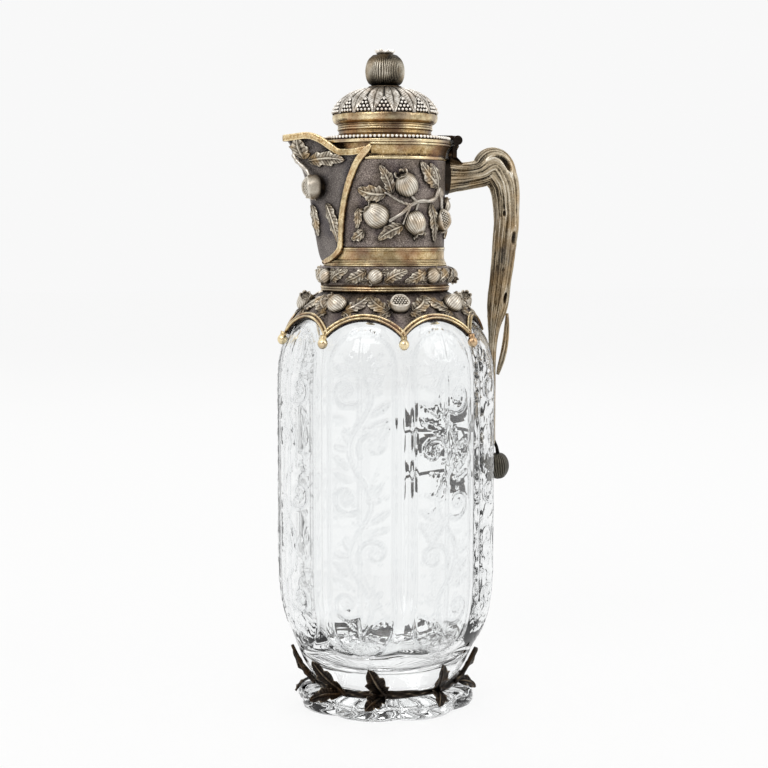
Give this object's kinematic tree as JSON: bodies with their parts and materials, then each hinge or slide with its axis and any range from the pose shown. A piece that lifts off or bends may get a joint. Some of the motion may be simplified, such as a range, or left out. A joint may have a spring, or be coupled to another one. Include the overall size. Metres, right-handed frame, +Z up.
{
  "type": "claret jug",
  "caption": "Claret jug with a panelled cut-glass body, a flared metal collar with a beak spout, a branch handle and a domed lid on a hinge.",
  "frame": {"origin": "middle of the flat underside of the foot, on the axis of the jug", "axes": "+Z up the axis; -X is the way that the spout points; +X is the handle and the hinge"},
  "size_m": [0.12, 0.1069, 0.32],
  "materials": {
    "crystal": "clear thick cut glass, polished, with engraved scrolls",
    "plaster": "hard white setting plaster",
    "dark_silver": "oxidised silver with a fine matted ground",
    "black_silver": "cast silver, deeply oxidised",
    "silver": "chased silver, bright on high places and dark in the lines",
    "bark_silver": "cast silver in the form of bark, faintly gilt",
    "gilt": "silver gilt, worn and tarnished"
  },
  "bodies": {
    "jug": {"glass_vessel": "crystal", "neck_plaster": "plaster", "shoulder_mount": "dark_silver", "shoulder_wire": "gilt", "shoulder_balls": "gilt", "shoulder_fruits": "silver", "shoulder_leaves": "silver", "neck_ring": "gilt", "garland_ring": "dark_silver", "garland_fruits": "silver", "garland_leaves": "silver", "base_moulding": "gilt", "base_band": "gilt", "collar_body": "dark_silver", "collar_rim": "gilt", "spout_shell": "dark_silver", "spout_lip_wire": "gilt", "spout_side_wires": "gilt", "spout_stem": "silver", "spout_fruit": "silver", "spout_leaves": "silver", "collar_branches": "silver", "collar_fruits": "silver", "collar_leaves": "silver", "fruit_seeds": "silver", "handle_pad": "dark_silver", "handle_branch": "bark_silver", "handle_shoot": "bark_silver", "handle_fruit": "silver", "handle_leaves": "dark_silver", "hinge_bracket": "dark_silver", "hinge_pin": "silver", "wreath_branch": "black_silver", "wreath_leaves": "black_silver", "wreath_twigs": "black_silver"},
    "lid": {"lid_plate": "gilt", "lid_beads": "silver", "lid_bezel": "gilt", "lid_band": "gilt", "lid_dome": "dark_silver", "lid_dome_leaves": "silver", "lid_grains": "silver", "finial_seat": "gilt", "finial_fruit": "silver", "finial_crown": "silver", "finial_screw": "silver", "finial_nut": "silver", "hinge_strap": "dark_silver"}
  },
  "joints": [
    {"name": "lid_hinge", "type": "hinge", "parent": "jug", "child": "lid", "pos_m": [0.0346, 0, 0.2762], "axis": [0, 1, 0], "range_deg": [0, 100]}
  ]
}
